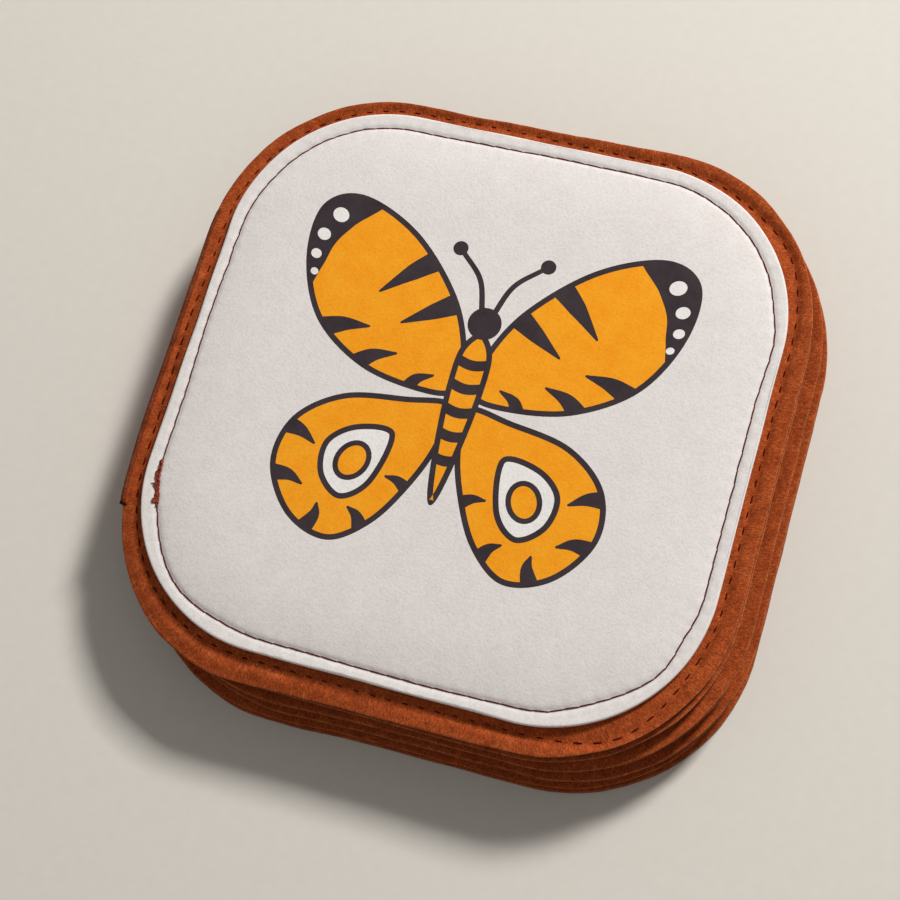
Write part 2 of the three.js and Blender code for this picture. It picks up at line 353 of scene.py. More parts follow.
def unit(vectors):
    return vectors / np.linalg.norm(vectors, axis=1)[:, None]


def wandering(table):
    """A smooth closed line through a table's millimetres at shares of the way round."""
    shares, distances = np.array([*table, (table[0][0] + 1, table[0][1])]).T

    def at(share):
        share = np.asarray(share, float) % 1.0
        k = np.clip(np.searchsorted(shares, share, side="right") - 1, 0, len(shares) - 2)
        t = (share - shares[k]) / (shares[k + 1] - shares[k])
        return (distances[k] + (distances[k + 1] - distances[k]) * smoothstep(t)) * MM

    return at


# Meshes


def new_object(name, data):
    obj = bpy.data.objects.new(name, data)
    bpy.context.scene.collection.objects.link(obj)
    return obj


def add_mesh(name, points, faces, materials, indices=None, uvs=None):
    mesh = bpy.data.meshes.new(name)
    mesh.from_pydata([tuple(p) for p in points], [], [tuple(f) for f in faces])
    for material in materials:
        mesh.materials.append(material)
    if indices is not None:
        mesh.polygons.foreach_set("material_index", np.asarray(indices, np.int32))
    mesh.polygons.foreach_set("use_smooth", np.ones(len(mesh.polygons), bool))
    if uvs is not None:
        mesh.uv_layers.new(name="places").data.foreach_set("uv", np.asarray(uvs, np.float32).ravel())
    mesh.update()
    return new_object(name, mesh)


def ring_faces(rings, count):
    """Quads between closed rings that follow each other, from the middle of the top outwards and back under,
    and the faces that close the first ring and the last one."""
    faces = []
    for start in range(0, count * (rings - 1), count):
        for k in range(count):
            a, b = start + k, start + (k + 1) % count
            faces.append((a, a + count, b + count, b))
    last = count * (rings - 1)
    return faces + [tuple(range(count)), tuple(reversed(range(last, last + count)))]


def ring_places(across, along):
    """Places in the cloth of the corners of ring_faces: the way along each ring, and from ring to ring."""
    places = []
    for near, far in zip(across, across[1:]):
        for start, end in zip(along, along[1:]):
            places += [(start, near), (start, far), (end, far), (end, near)]
    return places


def walked_along(points):
    """Length of the way from the first of some points to each of them."""
    steps = np.linalg.norm(np.diff(points, axis=0), axis=1)
    return np.concatenate([[0], np.cumsum(steps)])


def tube(path, radii):
    """Points and faces of a round thread along a path, closed at both ends."""
    path = np.asarray(path, float)
    ahead = unit(np.gradient(path, axis=0))
    side = unit(np.cross(ahead, (0.03, 0.05, 1.0)))
    above = np.cross(side, ahead)
    angles = -np.arange(THREAD_SIDES) * tau / THREAD_SIDES
    ring = side[:, None] * np.cos(angles)[None, :, None] + above[:, None] * np.sin(angles)[None, :, None]
    points = (path[:, None] + ring * np.broadcast_to(radii, len(path))[:, None, None]).reshape(-1, 3)
    return points, ring_faces(len(path), THREAD_SIDES)


def merged(parts):
    """One list of points and one of faces from several."""
    points, faces, start = [], [], 0
    for some_points, some_faces in parts:
        points.append(some_points)
        faces += [tuple(i + start for i in face) for face in some_faces]
        start += len(some_points)
    return np.concatenate(points), faces


# Materials


def new_material(name):
    material = bpy.data.materials.new(name)
    material.use_nodes = True
    tree = material.node_tree
    return material, tree, tree.nodes["Principled BSDF"]


def settle(node, **values):
    """Sets a node's own sockets, by their names with underscores for spaces."""
    for name, value in values.items():
        node.inputs[name.replace("_", " ")].default_value = value


def object_place(tree):
    return tree.nodes.new("ShaderNodeTexCoord").outputs["Object"]


def noise(tree, vector, scale, detail, roughness, distortion=0.0):
    made = tree.nodes.new("ShaderNodeTexNoise")
    settle(made, Scale=scale, Detail=detail, Roughness=roughness, Distortion=distortion)
    tree.links.new(vector, made.inputs["Vector"])
    return made.outputs["Fac"]


def fibre_noise(tree, vector, turn, along, across):
    """Noise drawn out into fibres that lie at an angle in the sheet."""
    turned = tree.nodes.new("ShaderNodeVectorRotate")
    turned.rotation_type = "Z_AXIS"
    settle(turned, Angle=turn)
    tree.links.new(vector, turned.inputs["Vector"])
    scaled = tree.nodes.new("ShaderNodeVectorMath")
    scaled.operation = "MULTIPLY"
    scaled.inputs[1].default_value = (along, across, across)
    tree.links.new(turned.outputs["Vector"], scaled.inputs[0])
    return noise(tree, scaled.outputs["Vector"], 1.0, 2.0, 0.55, 0.5)


def ramp(tree, factor, stops):
    """Colours at places of a factor. A single number is a grey."""
    made = tree.nodes.new("ShaderNodeValToRGB")
    elements = made.color_ramp.elements
    while len(elements) < len(stops):
        elements.new(0.5)
    for element, (place, colour) in zip(elements, stops):
        element.position = place
        element.color = (*np.broadcast_to(colour, 3), 1)
    tree.links.new(factor, made.inputs["Fac"])
    return made.outputs["Color"]


def mix(tree, factor, first, second, blend):
    made = tree.nodes.new("ShaderNodeMix")
    made.data_type = "RGBA"
    made.blend_type = blend
    made.inputs[0].default_value = factor
    tree.links.new(first, made.inputs[6])
    tree.links.new(second, made.inputs[7])
    return made.outputs[2]


def bump(tree, height, strength, distance, normal=None):
    made = tree.nodes.new("ShaderNodeBump")
    settle(made, Strength=strength, Distance=distance)
    tree.links.new(height, made.inputs["Height"])
    if normal is not None:
        tree.links.new(normal, made.inputs["Normal"])
    return made.outputs["Normal"]


def srgb(code):
    """Linear colour of a hexadecimal one."""
    parts = [int(code[i : i + 2], 16) / 255 for i in (0, 2, 4)]
    return tuple(c / 12.92 if c <= 0.04045 else ((c + 0.055) / 1.055) ** 2.4 for c in parts)


def felt_material(name, dark, middle, light):
    """Felt: faint clouds, short fibres across the edge and others that cross them, and a matt nap."""
    material, tree, shader = new_material(name)
    dark, middle, light = srgb(dark), srgb(middle), srgb(light)
    place = object_place(tree)
    cloth_place = tree.nodes.new("ShaderNodeTexCoord").outputs["UV"]
    cloud = noise(tree, place, 260, 3, 0.65, 0.3)
    grain = noise(tree, place, 1900, 4, 0.7, 0.5)
    nap = fibre_noise(tree, cloth_place, 0.15, 3300, 720)
    fibres = None
    for turn in (0.35, 1.45, 2.5):
        layer = fibre_noise(tree, place, turn, 800, 3400)
        fibres = layer if fibres is None else mix(tree, 1.0, fibres, layer, "LIGHTEN")
    patches = ramp(tree, cloud, [(0.2, dark), (0.5, middle), (0.85, light)])
    strands = ramp(tree, fibres, [(0.48, 0.66), (0.6, 1.0), (0.74, (1.45, 1.4, 1.35))])
    brushed = ramp(tree, nap, [(0.34, 0.62), (0.52, 1.0), (0.7, (1.5, 1.42, 1.35))])
    specks = ramp(tree, grain, [(0.34, 0.66), (0.5, 1.0), (0.68, (1.3, 1.27, 1.22))])
    colour = mix(tree, 0.7, patches, strands, "MULTIPLY")
    colour = mix(tree, 0.62, colour, brushed, "MULTIPLY")
    colour = mix(tree, 1.0, colour, specks, "MULTIPLY")
    tree.links.new(colour, shader.inputs["Base Color"])
    soft = bump(tree, cloud, 0.25, 0.3 * MM)
    strand_bump = bump(tree, fibres, 0.6, 0.16 * MM, soft)
    nap_bump = bump(tree, nap, 0.8, 0.2 * MM, strand_bump)
    tree.links.new(bump(tree, grain, 0.7, 0.1 * MM, nap_bump), shader.inputs["Normal"])
    settle(shader, Roughness=1.0, Specular_IOR_Level=0.1)
    settle(shader, Sheen_Weight=0.1, Sheen_Roughness=0.45, Sheen_Tint=(*light, 1))
    return material


def plush_material(name, colour, shade, nap=1.0, glow=0.0):
    """Short plush, plain or printed: a fine nap with faint clouds."""
    material, tree, shader = new_material(name)
    place = object_place(tree)
    cloud = noise(tree, place, 190, 3, 0.6)
    pile = noise(tree, place, 1500, 3, 0.65, 0.3)
    tufts = noise(tree, place, 520, 3, 0.6, 0.6)
    base = ramp(tree, cloud, [(0.3, srgb(shade)), (0.7, srgb(colour))])
    specks = ramp(tree, pile, [(0.3, 0.84), (0.58, 1.0)])
    tree.links.new(mix(tree, 0.7, base, specks, "MULTIPLY"), shader.inputs["Base Color"])
    soft = bump(tree, tufts, 0.28 * nap, 0.2 * MM)
    tree.links.new(bump(tree, pile, 0.75 * nap, 0.1 * MM, soft), shader.inputs["Normal"])
    settle(shader, Roughness=0.95, Specular_IOR_Level=0.2, Sheen_Weight=0.12, Sheen_Roughness=0.4)
    settle(shader, Subsurface_Weight=glow, Subsurface_Radius=(1.0, 1.0, 1.0), Subsurface_Scale=0.8 * MM)
    return material


def thread_material(name, dark, light, gloss=0.25):
    """Twisted sewing thread."""
    material, tree, shader = new_material(name)
    twist = fibre_noise(tree, object_place(tree), 0.8, 900, 5200)
    tree.links.new(ramp(tree, twist, [(0.35, srgb(dark)), (0.65, srgb(light))]), shader.inputs["Base Color"])
    tree.links.new(bump(tree, twist, 0.6, 0.08 * MM), shader.inputs["Normal"])
    settle(shader, Roughness=0.75, Specular_IOR_Level=gloss)
    return material


def floor_material(code):
    material, tree, shader = new_material("pale_floor")
    grain = noise(tree, object_place(tree), 300, 3, 0.6)
    colour = srgb(code)
    shade = tuple(c * 0.97 for c in colour)
    tree.links.new(ramp(tree, grain, [(0.3, shade), (0.7, colour)]), shader.inputs["Base Color"])
    settle(shader, Roughness=1.0, Specular_IOR_Level=0.1)
    return material


FELT = felt_material("brown_felt", "883E1E", "AA4E24", "BE6232")
# Cut edges and strip ends: a darker copy of the felt, painted shade on the side faces
FELT_EDGE_PAINTED_SHADE = felt_material("brown_felt_cut_edge_painted_shade", "5E2A16", "763A22", "8A4C32")
# Upper arris: a lighter copy of the felt, a painted highlight along the edge
FELT_ARRIS_PAINTED_HIGHLIGHT = felt_material("brown_felt_arris_painted_highlight", "985230", "B2643C", "C87C52")
PLUSH = plush_material("white_plush", "ECE6E3", "E7E0DD")
# Rim and cut edge of the front panel: a lighter copy of the plush, painted light on its shaded edge, with
# subsurface scatter
PLUSH_RIM_PAINTED_LIGHT = plush_material("white_plush_rim_painted_light", "EEE9E6", "E8E3E0", 0.7, 0.6)
ORANGE_PRINT = plush_material("orange_print", "FFAB22", "FC9E18")
CHARCOAL_PRINT = plush_material("charcoal_print", "42383C", "362E32")
BRIGHT_PRINT = plush_material("bright_print", "F6F3F0", "F0ECE8")
THREAD = thread_material("maroon_thread", "401410", "722C22")
DARK_THREAD = thread_material("dark_thread", "360902", "641406", 0.05)
RED_THREAD = thread_material("red_thread", "6C2A20", "9E4E38", 0.1)


# Thread


def add_thread(name, body, parts, material):
    obj = add_mesh(name, *merged(parts), [material])
    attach(obj, body)


def sewn_row(name, body, count, place, height, seed, side=1, stitch=FLAT_STITCH, material=THREAD):
    """Stitches round an outline. place(share) is a point of the row, height(xy) the level of the cloth there,
    and side is +1 on its upper face. Each stitch runs straight from hole to hole, a little askew."""
    rng = np.random.default_rng(seed)
    holes = []
    for k in range(count):
        hole = place((k + rng.normal(0, HOLE_DRIFT)) / count)
        holes.append(hole + rng.normal(0, 1, 2) * HOLE_SCATTER)
    stations, lifts, sizes = np.array(stitch).T
    parts = []
    for start, end in zip(holes, holes[1:] + holes[:1]):
        run = end - start
        askew = STITCH_SLANT * (1 + SLANT_SCATTER * rng.normal())
        aside = np.array((-run[1], run[0])) / np.linalg.norm(run) * askew
        xy = start + run * stations[:, None] + aside * (1 - 2 * stations[:, None])
        z = height(xy) + side * lifts * MM * (1 + LIFT_SCATTER * rng.normal())
        z = np.maximum(z, base_low.z + 1.2 * THREAD_RADIUS)
        parts.append(tube(np.column_stack([xy, z]), THREAD_RADIUS * sizes))
    add_thread(name, body, parts, material)


def along(outline, distance=None):
    """Place of a row that runs along an outline, or at a distance outside it."""

    def place(share):
        point, normal = outline.at(share)
        return point + normal * distance(share) if distance else point

    return place


def stitch_count(outline):
    return round(outline.length / STITCH_PITCH)


# Leaves

base_low, base_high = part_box("back_outer_felt")
top_low, top_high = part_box("cover_outer_felt")
rise = (top_low + top_high - base_low - base_high) / 2
LEAN = np.array((rise.x / rise.z, rise.y / rise.z))
COVER_HALF = (base_high.x - base_low.x - abs(LEAN[0]) * (base_high.z - base_low.z)) / 2


def body_and_lean(node):
    """The body of a sheet, and how far its outline shifts with its height: only the covers lean."""
    for body, nodes in frame["record"]["behaviour"]["bodies"].items():
        if node in nodes:
            return body, LEAN if "cover" in body else np.zeros(2)


def outline_of(node, lean, radius, step=OUTLINE_STEP):
    """Outline of a sheet at its middle level, from its CAD box."""
    low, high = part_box(node)
    skew = np.abs(lean) * (high.z - low.z)
    half = (np.array((high.x - low.x, high.y - low.y)) - skew) / 2
    centre = np.array((low.x + high.x, low.y + high.y)) / 2
    return Outline(centre, half, radius, step)


def lay_sheet(obj, node, body, outline):
    """Hides the CAD part that a flat sheet of the book stands for and attaches the sheet to the body it rides
    on; the area of its outline is worked out and not used.
    """
    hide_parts(node)
    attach(obj, body)
    outline.area()


panel_low, panel_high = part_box("cover_panel")
PANEL_HALF = (panel_high.y - panel_low.y) / 2
PANEL_RADIUS = CORNER_RADIUS - PANEL_MARGIN
PANEL = Outline((panel_low + panel_high) / 2, (PANEL_HALF, PANEL_HALF), PANEL_RADIUS, PANEL_STEP)
PANEL_STITCHES = stitch_count(PANEL)
thread_inset = wandering(THREAD_INSETS)
rim_lift = wandering(RIM_LIFTS)
valley_shift = wandering(VALLEY_SHIFTS)
valley_depth = wandering(VALLEY_DEPTHS)
valley_inner_width = wandering(VALLEY_INNER_WIDTHS)
rim_rise = wandering(RIM_RISES)
cover_lip = wandering(COVER_LIPS)


def outer_row(share):
    """How far outside the panel the cover's seam runs."""
    swells = sum(height * bell(share - middle, width) for middle, height, width in ROW_SWELLS)
    return OUTER_ROW + swells * MM


def cover_dip(xy):
    """How far the cover's upper face lies under its flat level: valley of the seam, stitches, raised rim."""
    share = PANEL.share_of(xy)
    past = -PANEL.inset_of(xy) - outer_row(share)
    deep = past + valley_shift(share)
    width = np.where(deep < 0, valley_inner_width(share), VALLEY_OUTER_WIDTH)
    valley = valley_depth(share) * bell(deep, width)
    stitched = 0.5 - 0.5 * np.cos(tau * share * PANEL_STITCHES)
    pinch = PINCH * stitched * bell(past, PINCH_WIDTH)
    return valley + pinch - rim_rise(share) * smoothstep(past / RIM_RUN)


def cover_level(xy):
    """Height of the cover's upper face, with its edge's lip."""
    from_edge = PANEL_MARGIN + PANEL.inset_of(xy)
    lip = cover_lip(PANEL.share_of(xy)) * smoothstep(1 - from_edge / SEAM_INSET)
    return top_high.z + lip - cover_dip(xy)


def felt_sheet(name, node, side, seed, lips, spread):
    """One felt sheet of a leaf. side is +1 where its outer face, with the dip of the seam, looks up. lips
    says how far its edge bends up, and spread how far it reaches past its outline. The cover's top sheet has
    its seam beside the front panel."""
    low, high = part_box(node)
    body, lean = body_and_lean(node)
    cover = node == "cover_outer_felt"
    step = COVER_STEP if cover else OUTLINE_STEP
    outline = outline_of(TONGUED.get(node, node), lean, CORNER_RADIUS, step)
    shares = outline.shares
    count = len(shares)
    lip = wandering(lips)(shares) + LIP_WAVE * noise_line(seed, *LIP_WAVES)(shares)
    wander = noise_line(seed + 50, *CUT_WAVES)(shares)
    snips = noise_line(seed + 90, *SNIP_WAVES)(shares)
    cut = CUT_WOBBLE * ((1 - SNIP_SHARE) * wander + SNIP_SHARE * snips) + wandering(spread)(shares)
    middle = (low.z + high.z) / 2

    turns = np.radians(EDGE_DEGREES)
    rounding = [(EDGE_ROUNDING * (1 - sin(a)), EDGE_ROUNDING * (1 - cos(a))) for a in turns]
    upper_insets = np.array(COVER_INSETS if cover else SHEET_INSETS) * MM
    section = [(inset, high.z, side > 0) for inset in upper_insets]
    section += [(inset, high.z - down, side > 0) for inset, down in rounding]
    section += [(EDGE_UNDERCUT + inset, low.z + up, side < 0) for inset, up in reversed(rounding)]
    lower_insets = [inset * MM for inset in reversed(SHEET_INSETS)]
    section += [(inset, low.z, side < 0) for inset in lower_insets if inset > EDGE_UNDERCUT + EDGE_ROUNDING]
    rings = []
    for inset, z, outer_face in section:
        shrink = inset - cut * smoothstep(1 - inset / CUT_RUN)
        xy = outline.points - outline.normals * shrink[:, None]
        level = np.maximum(z + lip * smoothstep(1 - inset / SEAM_INSET), base_low.z)
        if outer_face and cover:
            level = level - cover_dip(xy + lean * (z - middle))
        elif outer_face:
            level = level - side * SEAM_DEPTH * bell(inset - SEAM_INSET, SEAM_WIDTH)
        rings.append(np.column_stack([xy + lean * (level - middle)[:, None], level]))

    faces = ring_faces(len(rings), count)
    across = walked_along([(inset, z) for inset, z, _ in section])
    places = ring_places(across, np.linspace(0, outline.length, count + 1))
    places += [tuple(p[:2]) for p in rings[0]] + [tuple(p[:2]) for p in rings[-1][::-1]]
    arris = len(upper_insets)
    # Faces of the cut edge take the darker felt, painted shade
    cut_rings = range(arris, arris + 2 * len(turns) - 1)
    # The ring at the upper arris takes the lighter felt, a painted highlight
    indices = [2 if face // count == arris else int(face // count in cut_rings) for face in range(len(faces))]
    materials = [FELT, FELT_EDGE_PAINTED_SHADE, FELT_ARRIS_PAINTED_HIGHLIGHT]
    obj = add_mesh(name, np.concatenate(rings), faces, materials, indices, places)
    lay_sheet(obj, node, body, outline)
    if not cover:
        level = (high.z if side > 0 else low.z) - side * SEAM_DEPTH
        row = outline.grown(-SEAM_INSET)
        thread = (seed + 7, side, SUNK_STITCH, DARK_THREAD)
        sewn_row(name + "_seam", body, stitch_count(row), along(row), lambda xy: level, *thread)


def page_panel(node, side, seed):
    """Thin plush panel sewn to an inner face of a leaf. side is +1 where it looks up."""
    low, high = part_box(node)
    body, lean = body_and_lean(node)
    outline = outline_of(node, lean, CORNER_RADIUS - PAGE_PANEL_MARGIN)
    middle = (low.z + high.z) / 2
    face, back = (high.z, low.z) if side > 0 else (low.z, high.z)
    cut = PLUSH_WOBBLE * noise_line(seed, *PAGE_WAVES)(outline.shares)
    dip = PAGE_DIP_SHARE * (high.z - low.z)
    section = []
    for inset in PAGE_INSETS:
        dipped = dip * bell(inset * MM - PAGE_THREAD_INSET, THREAD_DIP_WIDTH)
        section.append((inset * MM, face - side * dipped))
    section += [(inset * MM, face - side * down * MM) for inset, down in PAGE_EDGE]
    section += [(inset * MM, back + side * up * MM) for inset, up in PAGE_BACK]
    if side < 0:
        section.reverse()
    rings = []
    for inset, z in section:
        shrink = inset - cut * (inset < PAGE_CUT_RUN)
        xy = outline.points - outline.normals * shrink[:, None]
        rings.append(np.column_stack([xy + lean * (z - middle), np.full(len(xy), z)]))
    faces = ring_faces(len(rings), len(outline.shares))
    obj = add_mesh(node.replace("_panel", "_plush"), np.concatenate(rings), faces, [PLUSH])
    lay_sheet(obj, node, body, outline)
    row = outline.grown(-PAGE_THREAD_INSET)
    level = face - side * dip
    sewn_row(obj.name + "_thread", body, stitch_count(row), along(row), lambda xy: level, seed + 3, side)


def leaves():
    """The felt sheets and page panels of the covers and leaves, from the top down."""
    for sheet in (
        ("cover_top_felt", "cover_outer_felt", 1, 2, COVER_LIPS, COVER_SPREAD),
        ("cover_under_felt", "cover_inner_felt", -1, 3, UNDER_LIPS, UNDER_SPREAD),
        ("first_page_top_felt", "leaf_1_upper_felt", 1, 14, FIRST_LIPS, LEAF_SPREAD),
        ("first_page_under_felt", "leaf_1_lower_felt", -1, 15, LOWER_LIPS, LEAF_SPREAD),
        ("second_page_top_felt", "leaf_2_upper_felt", 1, 26, UPPER_LIPS, LEAF_SPREAD),
        ("second_page_under_felt", "leaf_2_lower_felt", -1, 27, LOWER_LIPS, LEAF_SPREAD),
        ("back_inside_felt", "back_inner_felt", 1, 38, UPPER_LIPS, LEAF_SPREAD),
        ("back_base_felt", "back_outer_felt", -1, 39, BASE_LIPS, LEAF_SPREAD),
    ):
        felt_sheet(*sheet)
    for panel in (
        ("cover_page_panel", -1, 51),
        ("leaf_1_upper_panel", 1, 52),
        ("leaf_1_lower_panel", -1, 53),
        ("leaf_2_upper_panel", 1, 54),
        ("leaf_2_lower_panel", -1, 55),
        ("back_page_panel", 1, 56),
    ):
        page_panel(*panel)


# Spine

joints = {joint["name"]: Vector(joint["pos_m"]) for joint in frame["record"]["behaviour"]["joints"]}
LOW_HINGE = joints["spine_fold"]
HIGH_HINGE = joints["cover_fold"]
UP_SPINE = (HIGH_HINGE - LOW_HINGE).normalized()
OUT_OF_SPINE = Vector((-UP_SPINE.z, 0, UP_SPINE.x))


def across_spine(out, up):
    """Point of the plane across the spine, at distances outwards from the hinge line and up it."""
    return LOW_HINGE + OUT_OF_SPINE * out + UP_SPINE * up


def round_corner(place):
    """How far the covers' edge lies back, by their round corners, at a place along the spine."""
    past = max(0.0, abs(place) - COVER_HALF + CORNER_RADIUS)
    return past**2 / (2 * CORNER_RADIUS)


def drawn_in_end(place):
    """The outer strip follows the corners, and its lower end is drawn in a little more."""
    return round_corner(place) + SPINE_TUCK * smoothstep((-place - SPINE_TUCK_START) / SPINE_TUCK_RUN)


def swept_strip(name, body, profile, y_middle, length, seed, cut_faces, wobble=0.0, recess=None):
    """A felt strip: a closed profile of (x, z) points carried along y with soft, slightly narrowed ends."""
    rng = np.random.default_rng(seed)
    profile = np.asarray(profile, float)
    middle = profile.mean(0)
    outwards = np.array((OUT_OF_SPINE.x, OUT_OF_SPINE.z))
    places = np.linspace(-length / 2, length / 2, round(length / SPINE_STEP) + 1)
    near_ends = (places[0] + SPINE_END_STEP, places[-1] - SPINE_END_STEP)
    places = np.sort(np.concatenate([places, near_ends]))
    sizes = np.concatenate([SPINE_END_SIZES, np.ones(len(places) - 4), SPINE_END_SIZES[::-1]])
    phases = rng.uniform(0, tau, 3)
    rings = []
    for place, size in zip(places, sizes):
        drift = wobble * sum(sin(place / (n * MM) + p) for n, p in zip((9, 5, 17), phases)) / 3
        drift -= recess(place) if recess else 0.0
        moved = middle + (profile - middle) * size + outwards * drift
        rings.append(np.column_stack([moved[:, 0], np.full(len(moved), y_middle + place), moved[:, 1]]))
    count = len(profile)
    faces = ring_faces(len(rings), count)
    # The round cut ends and the end caps take the darker felt, painted shade
    indices = [int(face % count in cut_faces) for face in range(count * (len(rings) - 1))] + [1, 1]
    around = walked_along(np.vstack([profile, profile[:1]]))
    cloth = [(v, u) for u, v in ring_places(places, around)]
    cloth += [tuple(p) for p in profile] + [tuple(p) for p in profile[::-1]]
    obj = add_mesh(name, np.concatenate(rings), faces, [FELT, FELT_EDGE_PAINTED_SHADE], indices, cloth)
    if body:
        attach(obj, body)
    return obj


def strip_profile(inner, outer, low, high, curl=0.0):
    """Profile of a strip along the spine, up its inner side and down its outer side, and the numbers of its
    faces at the round cut ends. The top end leans inwards by curl."""
    thick = outer - inner
    middle = (inner + outer) / 2
    levels = np.linspace(low + thick / 2, high - thick / 2, SPINE_STATIONS)

    def lean_in(level):
        return -curl * smoothstep((level - high + SPINE_CURL_RUN) / SPINE_CURL_RUN)

    points = [(inner + lean_in(level), level) for level in levels]
    turns = np.radians((60, 30, 0, -30, -60))
    for turn in turns:
        level = levels[-1] + thick / 2 * cos(turn)
        points.append((middle - thick / 2 * sin(turn) + lean_in(level), level))
    points += [(outer + lean_in(level), level) for level in reversed(levels)]
    for turn in reversed(turns):
        points.append((middle - thick / 2 * sin(turn), levels[0] - thick / 2 * cos(turn)))
    round_end = range(SPINE_STATIONS - 1, SPINE_STATIONS + len(turns))
    cut_faces = {face + half for face in round_end for half in (0, len(points) // 2)}
    return [(p.x, p.z) for p in (across_spine(out, up) for out, up in points)], cut_faces


def spine():
    low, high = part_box("spine_felt")
    y_middle = (low.y + high.y) / 2
    length = high.y - low.y
    height = (HIGH_HINGE - LOW_HINGE).length
    outer = SPINE_GAP + SPINE_THICKNESS
    profile, cut_faces = strip_profile(SPINE_GAP, outer, -SPINE_FOOT, height + SPINE_TOP, SPINE_CURL)
    strip = swept_strip(
        "spine_strip", None, profile, y_middle, length, 61, cut_faces, SPINE_WOBBLE, drawn_in_end
    )
    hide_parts("spine_felt")
    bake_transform(strip)

    low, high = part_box("spine_lining")
    bottom = (low.z - LOW_HINGE.z) / UP_SPINE.z
    top = (high.z - LOW_HINGE.z + LINING_THICKNESS * UP_SPINE.x) / UP_SPINE.z
    profile, cut_faces = strip_profile(-LINING_THICKNESS, 0.0, bottom, top)
    lining = swept_strip(
        "spine_inner_strip", "spine", profile, y_middle, high.y - low.y, 62, cut_faces, recess=round_corner
    )
    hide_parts("spine_lining")
    spine_thread(y_middle, length, outer, height)


def spine_thread(y_middle, length, outer, height):
    """Rows of stitches along the strip's two long edges, and the knot at the upper row's lower end."""
    rng = np.random.default_rng(63)
    count = round((length - 2 * SPINE_ROW_MARGIN) / STITCH_PITCH)
    stations, lifts, sizes = np.array(SUNK_STITCH).T
    parts = []
    for up in (SPINE_LOW_ROW, height - SPINE_HIGH_ROW):
        for k in range(count):
            start = (k - count / 2) * STITCH_PITCH + rng.normal() * SPINE_SCATTER
            path = []
            for station, lift in zip(stations, lifts):
                place = start + station * STITCH_PITCH
                out = outer + lift * MM - drawn_in_end(place)
                p = across_spine(out, up + (1 - 2 * station) * STITCH_SLANT)
                path.append((p.x, y_middle + place, p.z))
            parts.append(tube(path, THREAD_RADIUS * sizes))
    add_thread("spine_seam", "spine", parts, DARK_THREAD)
    foot = -length / 2 - 0.05 * MM
    knot = []
    for turn in np.linspace(0, KNOT_TURNS * tau, KNOT_POINTS):
        out = outer - drawn_in_end(foot) - 0.45 * MM + (0.5 - 0.012 * turn) * MM * cos(turn)
        p = across_spine(out, height - 1.3 * MM + 0.55 * MM * sin(turn))
        knot.append((p.x, y_middle + foot + 0.3 * MM * sin(2.3 * turn), p.z))
    add_thread("spine_knot", "spine", [tube(knot, KNOT_RADIUS)], THREAD)


def tongue(name, leaf, node):
    """Felt hinge between the spine's inner strip and a page leaf."""
    root = joints[leaf + "_turn"]
    low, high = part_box(TONGUED[node])
    y_middle = (low.y + high.y) / 2
    reach = root.x - TONGUE_THICKNESS / 2 - TONGUE_GAP
    xs = np.linspace(reach, low.x - TONGUE_END_GAP, TONGUE_STATIONS)
    top, bottom = [], []
    for x in xs:
        share = (x - xs[0]) / (xs[-1] - xs[0])
        thick = TONGUE_THICKNESS * (1 - share) + TONGUE_END_THICKNESS * share
        half = thick / 2 * (0.8 + 0.2 * smoothstep(share * 8))
        top.append((x, root.z + half))
        bottom.append((x, root.z - half))
    profile = list(reversed(top)) + bottom
    cut_faces = {len(xs) - 1, 2 * len(xs) - 1}
    obj = swept_strip(name, None, profile, y_middle, TONGUE_LENGTH, 71, cut_faces)
    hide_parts(node)
    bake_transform(obj)


# Print of the front panel


def curve_through(points, closed, steps=10):
    """Points along a smooth curve that runs through the given ones."""
    p = np.asarray(points, float)
    p = np.vstack([p[-1], p, p[:2]]) if closed else np.vstack([2 * p[0] - p[1], p, 2 * p[-1] - p[-2]])
    made = []
    for i in range(1, len(p) - 2):
        a, b, c, d = p[i - 1 : i + 3]
        for t in np.arange(steps) / steps:
            square = (2 * a - 5 * b + 4 * c - d) * t**2
            cube = (3 * b - a - 3 * c + d) * t**3
            made.append(0.5 * (2 * b + (c - a) * t + square + cube))
    if not closed:
        made.append(p[-2])
    return np.array(made)


def drawn_in(polygon, width):
    """The polygon shrunk by a width on every side."""
    ahead = unit(np.roll(polygon, -1, 0) - np.roll(polygon, 1, 0))
    x, y = polygon[:, 0], polygon[:, 1]
    area = np.sum(x * np.roll(y, -1) - y * np.roll(x, -1))
    inwards = np.column_stack([-ahead[:, 1], ahead[:, 0]]) * np.sign(area)
    return polygon + inwards * width


def stroke(points, widths):
    """A line with round ends whose width changes along it."""
    line = curve_through(points, False)
    ahead = unit(np.gradient(line, axis=0))
    side = np.column_stack([-ahead[:, 1], ahead[:, 0]])
    half = np.interp(np.linspace(0, 1, len(line)), np.linspace(0, 1, len(widths)), widths)[:, None] / 2
    angles = np.linspace(pi / 2, -pi / 2, 7)[1:-1]
    far = [line[-1] + half[-1] * (side[-1] * sin(a) + ahead[-1] * cos(a)) for a in angles]
    near = [line[0] - half[0] * (side[0] * sin(a) + ahead[0] * cos(a)) for a in angles]
    return np.vstack([line + side * half, far, (line - side * half)[::-1], near])


def disc(x, y, radius_x, radius_y=None, turn=0.0):
    a = np.linspace(0, tau, DISC_POINTS, endpoint=False)
    local = np.column_stack([radius_x * np.cos(a), (radius_y or radius_x) * np.sin(a)])
    c, s = cos(turn), sin(turn)
    return local @ np.array([[c, s], [-s, c]]) + (x, y)


